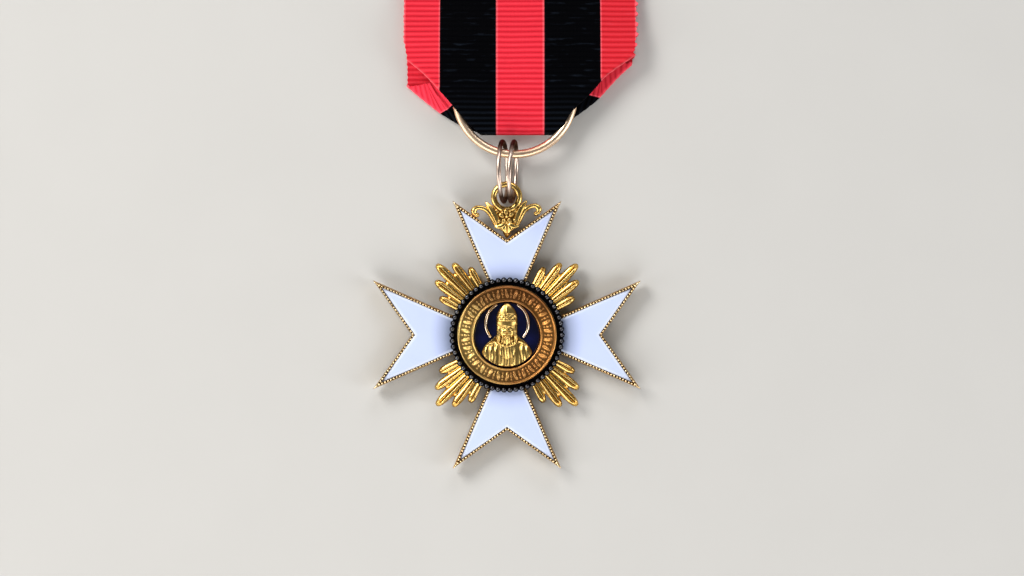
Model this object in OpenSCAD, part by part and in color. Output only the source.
// Order badge lying on its back: an enamelled eight-pointed cross with rays and a relief medallion,
// hung by a cast crest, two links and a large ring from a folded ribbon with a brooch bar.
// The origin is the middle of the back disc's flat face, on the surface; +Y runs up the ribbon.

/* [Cross] */
// Reach of an arm's two points from the middle
point_reach = 21.4; // [20.6:0.2:22]
// Half the distance between an arm's two points
point_spread = 8.7; // [8.3:0.1:9]
// Reach of the notch between the points
notch_reach = 15.2; // [15.1:0.1:15.3]
// Half the width of an arm where it leaves the medallion
root_half = 3.35; // [3.2:0.05:3.5]
// Width of the metal rim round the enamel
rim_w = 0.36; // [0.32:0.02:0.4]
// Height of the metal arms
arm_h = 2.1; // [2:0.05:2.2]
// How far the side walls flare towards the back
wall_flare = 0.1; // [0.06:0.02:0.14]

/* [Medallion] */
// Outer radius of the beaded ring
bead_ring_r = 9.2; // [9.1:0.1:9.4]
// Number of beads on the ring
bead_count = 58; // [48:2:60]
// Outer radius of the gilt band
band_r = 7.85; // [7.7:0.05:7.85]
// Radius of the blue field
field_r = 5.25; // [5.2:0.05:5.3]
// Height of the relief figure above the field
figure_h = 1.55; // [1.3:0.05:1.7]

/* [Suspension] */
// Outer radius of the crest's eye
eye_r = 2.5; // [2.45:0.05:2.6]
// Radius of the hole in the eye
eye_hole_r = 1.55; // [1.54:0.01:1.6]
// Outer radius of a link
link_r = 5.1; // [5.05:0.05:5.2]
// Wire of a link
link_wire = 0.7; // [0.6:0.05:0.7]
// Outer radius of the large ring
ring_r = 10; // [9.9:0.05:10.1]
// Wire of the large ring
ring_wire = 1.3; // [1.2:0.05:1.3]

/* [Ribbon] */
// Width of the ribbon
ribbon_w = 37; // [36:0.5:38]
// Thickness of the cloth wall
cloth = 1; // [1:0.05:1.05]
// Drop of the ribbon from the brooch bar to its lower fold
ribbon_drop = 46; // [42:1:60]

/* [Hidden] */
$fn = 64;

// The smallest gap that is left between two pieces
gap = 0.02;
back_h = 0.8;
arm_z = back_h + gap;
arm_top = arm_z + arm_h;
cell_floor = 1;
enamel_crown_r = 120;
boss_r = bead_ring_r - 1.2;
medal_z = arm_top + gap;

function unit(v) = v / norm(v);
function turned(p, a) = [p[0] * cos(a) - p[1] * sin(a), p[0] * sin(a) + p[1] * cos(a)];

// The outward normal of the edge from a to b of a polygon that runs anticlockwise
function edge_normal(a, b) = let (d = unit(b - a)) [d[1], -d[0]];

// A polygon whose edges all lie the distance d further in
function inset(p, d) = [
    for (i = [0 : len(p) - 1])
        let (
            n1 = edge_normal(p[(i + len(p) - 1) % len(p)], p[i]),
            n2 = edge_normal(p[i], p[(i + 1) % len(p)])
        )
        p[i] - d * (n1 + n2) / (1 + n1 * n2)
];

// A closed relief: a grid of top points over a flat base at the height z.
// Points run along rows, and along the rows' starts, so that the two directions turn anticlockwise seen
// from above. The first row and the last row each lie in one upright plane.
module relief(top, rows, columns, z) {
    count = rows * columns;
    last = columns - 1;
    base = [for (i = [0 : rows - 1], j = [0, last]) [top[i * columns + j][0], top[i * columns + j][1], z]];
    upper = [
        for (i = [0 : rows - 2], j = [0 : columns - 2])
            let (a = i * columns + j)
            [a + columns, a + columns + 1, a + 1, a]
    ];
    starts = [
        for (i = [0 : rows - 2])
            [i * columns, count + 2 * i, count + 2 * i + 2, (i + 1) * columns]
    ];
    ends = [
        for (i = [0 : rows - 2])
            [(i + 1) * columns + last, count + 2 * i + 3, count + 2 * i + 1, i * columns + last]
    ];
    lower = [
        for (i = [0 : rows - 2])
            [count + 2 * i, count + 2 * i + 1, count + 2 * i + 3, count + 2 * i + 2]
    ];
    first_wall = concat([count + 1, count], [for (j = [0 : last]) j]);
    last_wall = concat([count + 2 * rows - 2, count + 2 * rows - 1], [for (j = [last : -1 : 0]) count - columns + j]);
    polyhedron(concat(top, base), concat(upper, starts, ends, lower, [first_wall, last_wall]));
}

// A tube with a round section of changing radius along points that lie in one level plane
module tapered_tube(path, radii, sides = 8) {
    n = len(path);
    rings = [
        for (i = [0 : n - 1])
            let (
                d = unit(path[min(i + 1, n - 1)] - path[max(i - 1, 0)]),
                across = [-d[1], d[0], 0]
            )
            for (k = [0 : sides - 1])
                let (a = 360 * k / sides)
                [path[i][0], path[i][1], path[i][2]] + radii[i] * (across * cos(a) + [0, 0, sin(a)])
    ];
    skin = [
        for (i = [0 : n - 2], k = [0 : sides - 1])
            let (next = (k + 1) % sides)
            [i * sides + k, (i + 1) * sides + k, (i + 1) * sides + next, i * sides + next]
    ];
    ends = [
        [for (k = [0 : sides - 1]) k],
        [for (k = [sides - 1 : -1 : 0]) (n - 1) * sides + k]
    ];
    polyhedron(rings, concat(skin, ends));
}

// Outline of one arm, pointing along +X, from inside the medallion to its points
arm_inner = 3;
arm_slope = (point_spread - root_half) / (point_reach - bead_ring_r);
arm_outline = [
    [arm_inner, -(root_half - arm_slope * (bead_ring_r - arm_inner))],
    [point_reach, -point_spread],
    [notch_reach, 0],
    [point_reach, point_spread],
    [arm_inner, root_half - arm_slope * (bead_ring_r - arm_inner)]
];
arm_face = inset(arm_outline, wall_flare);
cell_outline = inset(arm_outline, wall_flare + rim_w);

// A solid between two outlines with the same number of points, the low one at z0 and the high one at z1
module flared_plate(low, high, z0, z1) {
    n = len(low);
    points = concat([for (p = low) [p[0], p[1], z0]], [for (p = high) [p[0], p[1], z1]]);
    sides = [for (k = [0 : n - 1]) let (m = (k + 1) % n) [k, n + k, n + m, m]];
    polyhedron(points, concat([[for (k = [0 : n - 1]) k]], [[for (k = [n - 1 : -1 : 0]) n + k]], sides));
}

// Metal of the four arms, with a sunk cell for the enamel in each, soldered to a round boss
module cross() {
    color("goldenrod")
    difference() {
        union() {
            for (a = [0 : 90 : 270])
                rotate(a)
                    flared_plate(arm_outline, arm_face, arm_z, arm_top);
            translate([0, 0, arm_z])
                cylinder(r = boss_r, h = arm_h);
        }
        for (a = [0 : 90 : 270])
            rotate(a)
                translate([0, 0, arm_top - cell_floor])
                    linear_extrude(cell_floor + 1)
                        enamel_plan(0);
    }
}

// Plan of an enamel fill, its edge the distance d inside the cell
module enamel_plan(d) {
    difference() {
        polygon(inset(cell_outline, d));
        circle(r = boss_r + d);
    }
}

// White enamel of one arm, faintly crowned
module enamel(angle) {
    color("white")
    rotate(angle)
        intersection() {
            translate([0, 0, arm_top - cell_floor + gap])
                linear_extrude(cell_floor + 1)
                    enamel_plan(gap);
            translate([(boss_r + point_reach) / 2, 0, arm_top + 0.08 - enamel_crown_r])
                sphere(r = enamel_crown_r, $fn = 360);
        }
}

// Plain disc that closes the back and carries the cross on the surface
module back_disc() {
    color("goldenrod")
    rotate_extrude()
        polygon([
            [0, 0], [boss_r - 0.4, 0], [boss_r, 0.3], [boss_r, back_h], [0, back_h]
        ]);
}

// Rays of a sheaf. Columns: angle from the middle ray, reach, half the angle it covers, height
ray_rows = [
    [-16, 12.3, 3.7, 0.75], [-12, 11.3, 2.1, 0.5], [-8, 14.3, 3.7, 0.95], [-4, 13, 2.1, 0.6],
    [0, 15.9, 3.7, 1.05],
    [4, 13, 2.1, 0.6], [8, 14.3, 3.7, 0.95], [12, 11.3, 2.1, 0.5], [16, 12.3, 3.7, 0.75]
];
ray_first_r = boss_r + 0.1;
ray_half_angle = 19;
ray_lines = 39;
ray_steps = 6;
ray_z = arm_z + 0.5;
ray_base_h = 0.45;

// How much of a ray's rounded section stands at an angle: 1 on its ridge, 0 at its side
function ray_part(a, ray) = sqrt(max(0, 1 - pow((a - ray[0]) / ray[2], 2)));
function ray_end(a, ray) = pow(max(0, 1 - pow(abs(a - ray[0]) / ray[2], 2.6)), 0.38);
function sheaf_reach(a) = max([for (ray = ray_rows) ray_first_r + 1.6 + (ray[1] - ray_first_r - 1.6) * ray_end(a, ray)]);
function sheaf_height(a, r) = max([
    for (ray = ray_rows)
        let (tip = max(0, (r - ray[1] + 1.7) / 1.7))
        ray[3] * ray_part(a, ray) * sqrt(max(0, 1 - tip * tip))
]);

// One sheaf of fluted rays between two arms, rooted under the beaded ring
module rays(angle) {
    top = [
        for (i = [0 : ray_lines - 1], j = [0 : ray_steps])
            let (
                a = -ray_half_angle + 2 * ray_half_angle * i / (ray_lines - 1),
                r = ray_first_r + (sheaf_reach(a) - ray_first_r) * pow(j / ray_steps, 0.8),
                p = turned([r, 0], a)
            )
            [p[0], p[1], ray_z + ray_base_h + (j < ray_steps ? sheaf_height(a, r) : 0)]
    ];
    color("gold")
    rotate(angle)
        relief(top, ray_lines, ray_steps + 1, ray_z);
}

// Oxidised ring of round beads on a flat seat
bead_r = 0.45;
bead_line_r = bead_ring_r - bead_r - 0.03;
seat_r = bead_ring_r - 0.28;
seat_h = 0.45;
module bead_ring() {
    color("dimgray") {
        rotate_extrude()
            polygon([
                [band_r + 0.12, medal_z], [seat_r, medal_z],
                [seat_r, medal_z + seat_h], [band_r + 0.12, medal_z + seat_h]
            ]);
        for (k = [0 : bead_count - 1])
            rotate(360 * k / bead_count)
                translate([bead_line_r, 0, medal_z + seat_h])
                    sphere(r = bead_r, $fn = 24);
    }
}

// Gilt band with raised edges and a running border of leaves, in place of lettering
band_z = arm_top + gap;
band_h = 1.3;
band_edge_w = 0.3;
band_edge_h = 0.2;
leaf_count = 30;
leaf_long = 0.64;
leaf_wide = 0.25;
module leaf(long, wide) {
    polygon([
        for (k = [0 : 5]) [-long + k * long / 3, -wide * sin(30 * k)],
        for (k = [6 : -1 : 1]) [-long + k * long / 3, wide * sin(30 * k)]
    ]);
}
module band() {
    color("darkgoldenrod") {
        rotate_extrude()
            polygon([
                [field_r + 0.05, band_z], [band_r, band_z],
                [band_r, band_z + band_h + band_edge_h], [band_r - band_edge_w, band_z + band_h + band_edge_h],
                [band_r - band_edge_w, band_z + band_h],
                [field_r + 0.05 + band_edge_w, band_z + band_h],
                [field_r + 0.05 + band_edge_w, band_z + band_h + band_edge_h],
                [field_r + 0.05, band_z + band_h + band_edge_h]
            ]);
        for (k = [0 : leaf_count - 1])
            rotate(360 * (k + 0.5) / leaf_count)
                translate([(field_r + band_r) / 2, 0, band_z + band_h - 0.1])
                    rotate(k % 2 == 0 ? 14 : -14)
                        linear_extrude(0.1 + band_edge_h)
                            leaf(leaf_long, leaf_wide);
    }
}

// Sunk disc of dark blue enamel
field_h = 0.55;
field_top = band_z + field_h;
module blue_field() {
    color("midnightblue")
    translate([0, 0, band_z])
        cylinder(r = field_r, h = field_h);
}

// Outline of the figure. Columns: height on the field, half width
figure_rows = [
    [-3.05, 3.98], [-2.6, 4], [-2.1, 3.78], [-1.6, 3.42], [-1.05, 2.86], [-0.65, 2.32], [-0.3, 1.84],
    [0.2, 1.66], [1.9, 1.68], [2.9, 1.68], [3.5, 1.52], [4.1, 1.2], [4.6, 0.82], [4.95, 0.44], [5.1, 0.2]
];
figure_circle_r = field_r - 0.25;
figure_low = -4.9;
figure_high = 5.1;
figure_rim_h = 0.3;
figure_line_count = 44;
figure_columns = 27;
function figure_half(y) =
    y < figure_rows[0][0] ? sqrt(max(0, figure_circle_r * figure_circle_r - y * y)) : lookup(y, figure_rows);

// Rounded masses of the figure. Columns: x, y, half width, half height, relief
figure_masses = [
    [0, -4.8, 5.4, 4.2, 0.62], [-2.5, -3.1, 1.9, 1.8, 0.6], [2.5, -3.1, 1.9, 1.8, 0.6],
    [0, -2.4, 1.7, 2.2, 0.78], [-1.3, 0.2, 0.5, 2, 0.6], [1.3, 0.2, 0.5, 2, 0.6],
    [0, 0.85, 1.42, 2, 0.9], [0, -0.75, 1.1, 1.25, 0.92], [0, 2.7, 1.78, 2.7, 0.9]
];
// Soft details of the figure. Columns: x, y, half width, half height, relief
figure_details = [
    [0, 0.75, 0.16, 0.42, 0.16], [0, 0.38, 0.24, 0.18, 0.14], [-0.52, 1.3, 0.4, 0.13, 0.09],
    [0.52, 1.3, 0.4, 0.13, 0.09], [-0.52, 1.02, 0.3, 0.16, -0.13], [0.52, 1.02, 0.3, 0.16, -0.13],
    [-0.38, 0.02, 0.36, 0.13, 0.1], [0.38, 0.02, 0.36, 0.13, 0.1], [0, -0.2, 0.3, 0.08, -0.1],
    [0, 2.3, 2.6, 0.16, 0.08], [0, 3.4, 2.6, 0.13, 0.07]
];
function mass_height(x, y, m) = m[4] * sqrt(max(0, 1 - pow((x - m[0]) / m[2], 2) - pow((y - m[1]) / m[3], 2)));
function detail_height(x, y, d) = d[4] * exp(-pow((x - d[0]) / d[2], 2) - pow((y - d[1]) / d[3], 2));
function robe_fold(x, y) = y > -1.3 ? 0 : 0.05 * cos(400 * x) * min(1, (-1.3 - y) / 0.8);
function figure_height(x, y) =
    max([for (m = figure_masses) mass_height(x, y, m)])
    + robe_fold(x, y)
    + [for (d = figure_details) detail_height(x, y, d)] * [for (d = figure_details) 1];

// Half-length figure in relief: high rounded cap with two bands, bearded head and pleated robe
module figure() {
    top = [
        for (i = [0 : figure_line_count - 1], j = [0 : figure_columns - 1])
            let (
                y = figure_low + (figure_high - figure_low) * i / (figure_line_count - 1),
                x = figure_half(y) * (2 * j / (figure_columns - 1) - 1),
                edge = i == 0 || i == figure_line_count - 1 || j == 0 || j == figure_columns - 1
            )
            [x, y, field_top + gap + figure_rim_h
                + (edge ? 0 : (figure_h - figure_rim_h) * max(0, figure_height(x, y)))]
    ];
    color("gold")
        relief(top, figure_line_count, figure_columns, field_top + gap);
}

// One of the two arcs of a plain nimbus that stand clear of the figure
halo_r = 3.6;
halo_y = 1.85;
halo_w = 0.45;
halo_h = 0.35;
module halo(side) {
    color("gold")
    difference() {
        translate([0, halo_y, field_top + gap])
            rotate_extrude()
                translate([halo_r - halo_w, 0])
                    square([halo_w, halo_h]);
        translate([0, 0, field_top - 1])
            linear_extrude(3)
                polygon([
                    for (y = [figure_low : 0.2 : figure_high]) [side * (figure_half(y) + 0.08), y],
                    [0, figure_high + 1], [-side * 2 * field_r, figure_high + 1], [-side * 2 * field_r, figure_low]
                ]);
        translate([0, 0, field_top - 1])
            difference() {
                cylinder(r = field_r + 3, h = 3);
                translate([0, 0, -1])
                    cylinder(r = field_r - 0.1, h = 5);
            }
    }
}

// Cast crest: an eye over a rosette, between two upright leaves and two outward scrolls, on a pointed foot
crest_z = 2.4;
crest_turn = 1.8;
eye_x = 0.1;
eye_y = 21.95;
eye_wire = eye_r - eye_hole_r;
crest_foot_y = 16.3;
crest_t = 1;
crest_turn_y = 17;
// Centre line of the right leaf and the right scroll. Columns: x, y, radius
leaf_line = [[1.3, 17.5, 0.4], [1.65, 18.5, 0.45], [2.1, 19.5, 0.47], [2.75, 20.5, 0.42], [3.4, 21.35, 0.22]];
scroll_line = [
    [1.55, 17.4, 0.32], [2.05, 18.3, 0.36], [2.6, 19.3, 0.36], [3.25, 20.1, 0.34], [4, 20.5, 0.33],
    [4.75, 20.5, 0.36], [5.2, 20.05, 0.42], [5.15, 19.5, 0.36], [4.75, 19.25, 0.34]
];
module crest_side() {
    tapered_tube([for (p = leaf_line) [p[0], p[1], crest_z + 0.15]], [for (p = leaf_line) p[2]], 10);
    tapered_tube([for (p = scroll_line) [p[0], p[1], crest_z - 0.1]], [for (p = scroll_line) p[2]], 10);
}
module crest() {
    slope = point_spread / (point_reach - notch_reach);
    color("gold") {
        translate([0, crest_turn_y, 0])
        rotate(crest_turn)
        translate([0, -crest_turn_y, 0]) {
            difference() {
                union() {
                    translate([eye_x, eye_y, crest_z])
                        rotate_extrude()
                            translate([(eye_r + eye_hole_r) / 2, 0])
                                circle(r = eye_wire / 2);
                    translate([0, 0, crest_z - crest_t / 2])
                        linear_extrude(crest_t)
                            polygon([
                                [0, crest_foot_y + 0.25], [0.4, crest_foot_y], [1.9, crest_foot_y + 0.95],
                                [1.75, 18.4], [1.7, 20.3], [-1.7, 20.3], [-1.75, 18.4],
                                [-1.9, crest_foot_y + 0.95], [-0.4, crest_foot_y]
                            ]);
                }
                translate([eye_x, eye_y, 0])
                    cylinder(r = eye_hole_r, h = 6);
            }
            // Rosette: a bud within five petals
            translate([0, 18.8, crest_z + crest_t / 2 - 0.25]) {
                sphere(r = 0.55);
                for (a = [18 : 72 : 306])
                    rotate(a)
                        translate([0.72, 0, -0.05])
                            sphere(r = 0.45);
            }
            crest_side();
            mirror([1, 0, 0])
                crest_side();
        }
        // The hidden post that holds the crest in the notch
        translate([0, 0, crest_z - 1.1])
            linear_extrude(1)
                polygon([
                    [0, notch_reach + gap], [0.6, notch_reach + gap + 0.6 / slope], [0.6, crest_foot_y + 1.2],
                    [-0.6, crest_foot_y + 1.2], [-0.6, notch_reach + gap + 0.6 / slope]
                ]);
    }
}

// Two round wire links that stand on edge through the eye and the large ring.
// Columns: x of the link's middle, lean to the left, turn to the right
link_places = [[-0.6, 8.3, -1], [0.92, 6.6, 3]];
link_line_r = link_r - link_wire / 2;
link_y = 25.9;
link_z = link_r;
module link(index) {
    place = link_places[index];
    color("gold")
    translate([place[0], link_y, link_z])
        rotate([0, -place[1], -place[2]])
            rotate([0, 90, 0])
                rotate_extrude($fn = 96)
                    translate([link_line_r, 0])
                        circle(r = link_wire / 2, $fn = 24);
}

// Large ring, tipped up a little where the links lift it
ring_x = 1.25;
ring_y = 38.05;
ring_line_r = ring_r - ring_wire / 2;
ring_low_z = 3.15;
ring_high_z = 1.82;
ring_tilt = atan((ring_low_z - ring_high_z) / (2 * ring_line_r));
module large_ring() {
    color("gold")
    translate([ring_x, ring_y, (ring_low_z + ring_high_z) / 2])
        rotate([-ring_tilt, 0, 0])
            rotate_extrude($fn = 128)
                translate([ring_line_r, 0])
                    circle(r = ring_wire / 2, $fn = 32);
}

// Ribbon: a wall of cloth from its sewn end in front, through the large ring, to its sewn end behind
ribbon_x = 2.1;
fold_y = 31.8;
ribbon_end_y = fold_y + ribbon_drop;
half = ribbon_w / 2;
bar_top = 3.1;
ply = cloth + 0.05;
end_z = bar_top + gap + cloth / 2;
bend_r = 1.3;
bend_y = fold_y + bend_r + cloth / 2;
// Middle of the cloth in front and behind. Columns: height above the lower fold, z
front_rows = [
    [2.8, cloth / 2 + 2 * bend_r + 0.3], [3.6, cloth / 2 + 2 * bend_r + 0.65],
    [4.2, cloth / 2 + 2 * bend_r + 0.82], [5.1, cloth / 2 + 2 * bend_r + 0.8],
    [6.2, cloth / 2 + 2 * bend_r + 0.68], [10.2, cloth / 2 + 2 * bend_r + 0.38],
    [13.5, cloth / 2 + 2 * bend_r + 0.15], [15.8, cloth / 2 + 2 * bend_r + 0.02],
    [17.2, cloth / 2 + 2 * bend_r - 0.35], [19.5, cloth / 2 + 2 * bend_r - 1.1],
    [21.5, cloth / 2 + ply], [ribbon_drop - 15, cloth / 2 + ply]
];
rise_rows = [[ribbon_drop - 15, 0], [ribbon_drop - 12, 0.7], [ribbon_drop - 9, 2], [ribbon_drop - 6.6, 1 + bar_top - 0.99]];
// Edges of the cloth. Columns: height above the lower fold, x
front_left = [[0, -4], [1.8, -5.6], [3.6, -6.7], [5.1, -8.7], [12.6, ribbon_x - half]];
front_right = [[0, 6.6], [1.8, 8.1], [3.6, 9.2], [4.7, 11.2], [13.2, ribbon_x + half]];
back_left = [[0, -4], [1.8, -7.2], [8.7, -15.9], [9.7, ribbon_x - half]];
back_right = [[0, 6.6], [1.8, 10.3], [11, 19.6], [12, ribbon_x + half]];

// Rows of the ribbon, in order along the cloth: y, z, left edge, right edge
ribbon_rows = concat(
    [[ribbon_end_y, end_z + ply, ribbon_x - half, ribbon_x + half]],
    [for (k = [len(rise_rows) - 1 : -1 : 0])
        [fold_y + rise_rows[k][0], cloth / 2 + ply + rise_rows[k][1] * (end_z - cloth / 2) / rise_rows[3][1],
            ribbon_x - half, ribbon_x + half]],
    [for (k = [len(front_rows) - 2 : -1 : 0])
        [fold_y + front_rows[k][0], front_rows[k][1],
            lookup(front_rows[k][0], front_left), lookup(front_rows[k][0], front_right)]],
    [for (a = [90 : -22.5 : -90])
        let (h = (1 - cos(a)) * (bend_r + cloth / 2))
        [bend_y - bend_r * cos(a), cloth / 2 + bend_r + bend_r * sin(a),
            a >= 0 ? lookup(h, front_left) : lookup(h, back_left),
            a >= 0 ? lookup(h, front_right) : lookup(h, back_right)]],
    [for (h = [3.6, 5.1, 8.7, 9.7, 11, 12, 13.5, ribbon_drop - 15])
        [fold_y + h, cloth / 2, lookup(h, back_left), lookup(h, back_right)]],
    [for (k = [1 : len(rise_rows) - 1])
        [fold_y + rise_rows[k][0], cloth / 2 + rise_rows[k][1] * (end_z - cloth / 2) / rise_rows[3][1],
            ribbon_x - half, ribbon_x + half]],
    [[ribbon_end_y, end_z, ribbon_x - half, ribbon_x + half]]
);

module ribbon() {
    n = len(ribbon_rows);
    points = [
        for (i = [0 : n - 1])
            let (
                a = ribbon_rows[max(i - 1, 0)],
                b = ribbon_rows[min(i + 1, n - 1)],
                r = ribbon_rows[i],
                d = unit([b[0] - a[0], b[1] - a[1]]),
                out = [-d[1], d[0]] * cloth / 2
            )
            for (p = [[r[2], 1], [r[3], 1], [r[3], -1], [r[2], -1]])
                [p[0], r[0] - p[1] * out[0], r[1] - p[1] * out[1]]
    ];
    skin = [
        for (i = [0 : n - 2], k = [0 : 3])
            let (m = (k + 1) % 4)
            [4 * i + k, 4 * i + 4 + k, 4 * i + 4 + m, 4 * i + m]
    ];
    color("firebrick")
        polyhedron(points, concat(skin, [[0, 1, 2, 3]], [[4 * n - 1, 4 * n - 2, 4 * n - 3, 4 * n - 4]]));
}

// Plain brooch bar behind the ribbon's sewn end, with its closed pin, all in one piece
bar_w = 35.6;
bar_d = 5.2;
bar_t = 0.8;
bar_y = ribbon_end_y - 3.4;
pin_r = 0.45;
pin_half = 14.5;
module brooch() {
    color("darkgoldenrod")
    translate([ribbon_x, bar_y, 0]) {
        translate([-bar_w / 2, -bar_d / 2, bar_top - bar_t])
            cube([bar_w, bar_d, bar_t]);
        for (side = [-1, 1])
            translate([side * pin_half - 0.9, -1, 0])
                cube([1.8, 2, bar_top - bar_t / 2]);
        translate([-pin_half, 0, pin_r])
            rotate([0, 90, 0])
                cylinder(r = pin_r, h = 2 * pin_half, $fn = 24);
    }
}

cross();
back_disc();
enamel(90);  // enamel_top
enamel(180);  // enamel_left
enamel(270);  // enamel_bottom
enamel(0);  // enamel_right
rays(45);  // rays_upper_right
rays(135);  // rays_upper_left
rays(225);  // rays_lower_left
rays(315);  // rays_lower_right
bead_ring();
band();
blue_field();
halo(-1);  // halo_left
halo(1);  // halo_right
figure();
crest();
link(0);  // link_left
link(1);  // link_right
large_ring();
ribbon();
brooch();
